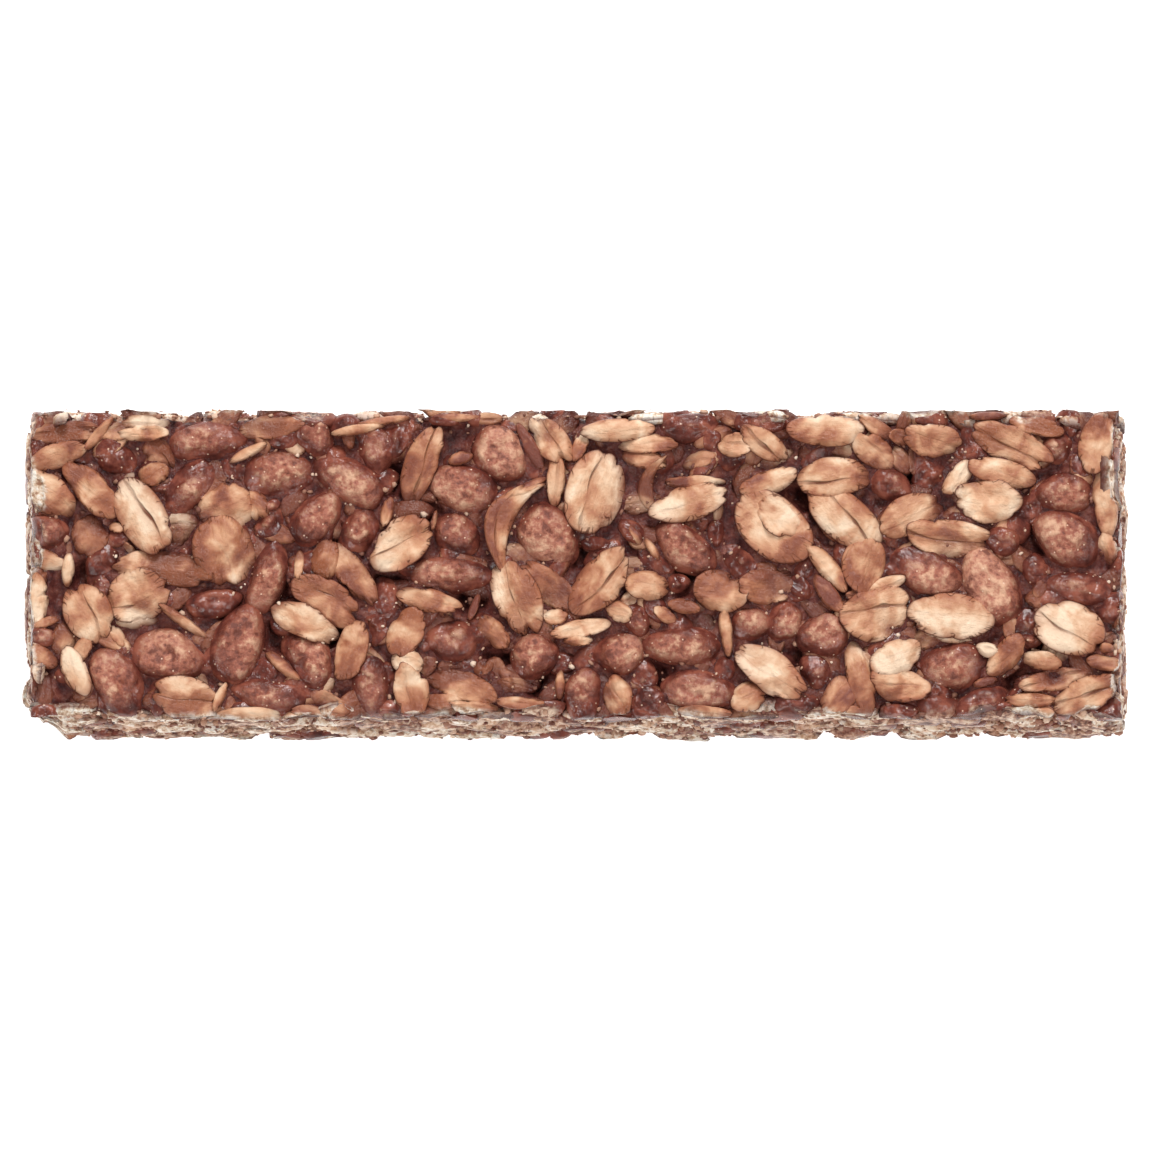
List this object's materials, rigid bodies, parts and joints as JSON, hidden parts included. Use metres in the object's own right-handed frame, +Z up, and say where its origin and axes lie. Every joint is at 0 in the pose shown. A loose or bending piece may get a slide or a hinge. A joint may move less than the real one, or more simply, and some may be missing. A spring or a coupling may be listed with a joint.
{
  "type": "cereal bar",
  "caption": "Pressed rectangular snack bar of rolled oats and cocoa crisps bound in cocoa syrup, with knife-cut sides and ends and a flat underside.",
  "frame": {"origin": "middle of the bar's box at its flat underside", "axes": "+X along the bar, +Y across it towards its back cut side, +Z up through its thickness to the face with the oats and crisps"},
  "size_m": [0.111, 0.0326, 0.013],
  "materials": {
    "cocoa_and_oats": "rolled oats and cocoa crisps in dark cocoa syrup: pale and golden matt grain with brown, slightly glossy syrup between"
  },
  "bodies": {
    "root": {"cereal_bar": "cocoa_and_oats"}
  },
  "joints": []
}
